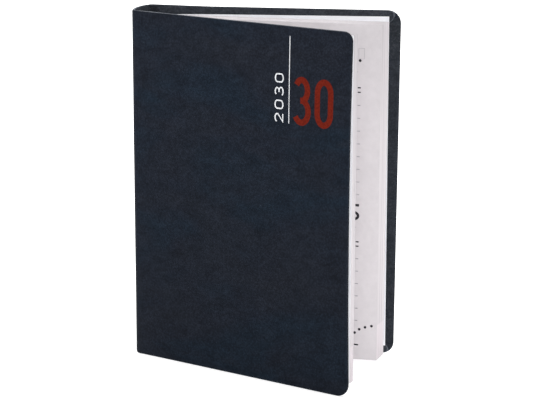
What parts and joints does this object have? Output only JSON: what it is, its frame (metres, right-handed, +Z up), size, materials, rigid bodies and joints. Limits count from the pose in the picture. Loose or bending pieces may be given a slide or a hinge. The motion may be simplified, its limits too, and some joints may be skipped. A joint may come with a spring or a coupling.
{
  "type": "pocket diary",
  "caption": "Hardback pocket diary in dark blue leatherette, standing partly open on its tail edges; covers and leaves turn on the spine",
  "frame": {"origin": "middle of the footprint, on the plane that the tail edges stand on", "axes": "+Z is up, from tail to head; the back cover lies along X with its outer face towards +Y, the spine is at -X, and the front cover opens towards -Y"},
  "size_m": [0.0892, 0.0474, 0.12],
  "materials": {
    "leatherette": "fine-grained dark navy leatherette, matte with a faint cloudy mottle",
    "greyboard": "plain grey bookbinding board",
    "endpaper": "smooth cool-white endpaper",
    "page_paper": "thin uncoated page paper, slightly warm",
    "lining_paper": "brown kraft lining paper",
    "mull_gauze": "stiff open-weave cotton gauze",
    "sewing_thread": "white cotton thread",
    "band_cloth": "dark blue rolled cotton band"
  },
  "bodies": {
    "spine": {"spine_skin": "leatherette", "spine_card": "greyboard", "spine_liner": "lining_paper", "mull": "mull_gauze", "stitch_row_1": "sewing_thread", "stitch_row_2": "sewing_thread", "stitch_row_3": "sewing_thread", "stitch_row_4": "sewing_thread", "head_band": "band_cloth", "tail_band": "band_cloth"},
    "front_cover": {"front_cover_skin": "leatherette", "front_board": "greyboard", "front_pastedown": "endpaper"},
    "front_leaves": {"front_flyleaf": "endpaper", "section_01": "page_paper", "section_02": "page_paper", "section_03": "page_paper"},
    "back_cover": {"back_cover_skin": "leatherette", "back_board": "greyboard", "back_pastedown": "endpaper"},
    "back_leaves": {"back_flyleaf": "endpaper", "section_04": "page_paper", "section_05": "page_paper", "section_06": "page_paper", "section_07": "page_paper", "section_08": "page_paper", "section_09": "page_paper", "section_10": "page_paper", "section_11": "page_paper"}
  },
  "joints": [
    {"name": "front_cover_hinge", "type": "hinge", "parent": "spine", "child": "front_cover", "pos_m": [-0.04393, 0.01001, 0], "axis": [0, 0, -1], "range_deg": [-10.95, 169.05]},
    {"name": "front_leaves_bend", "type": "hinge", "parent": "spine", "child": "front_leaves", "pos_m": [-0.0401, 0.01094, 0], "axis": [0, 0, -1], "range_deg": [-7.98, 123.1]},
    {"name": "back_cover_hinge", "type": "hinge", "parent": "spine", "child": "back_cover", "pos_m": [-0.04092, 0.02368, 0], "axis": [0, 0, 1], "range_deg": [-12.4, 167.6]},
    {"name": "back_leaves_bend", "type": "hinge", "parent": "spine", "child": "back_leaves", "pos_m": [-0.03725, 0.02111, 0], "axis": [0, 0, 1], "range_deg": [-10.12, 136.7]}
  ],
  "couplings": [
    {"joint": "front_leaves_bend", "follows": "front_cover_hinge", "ratio": 0.72785},
    {"joint": "back_leaves_bend", "follows": "back_cover_hinge", "ratio": 0.81532}
  ]
}
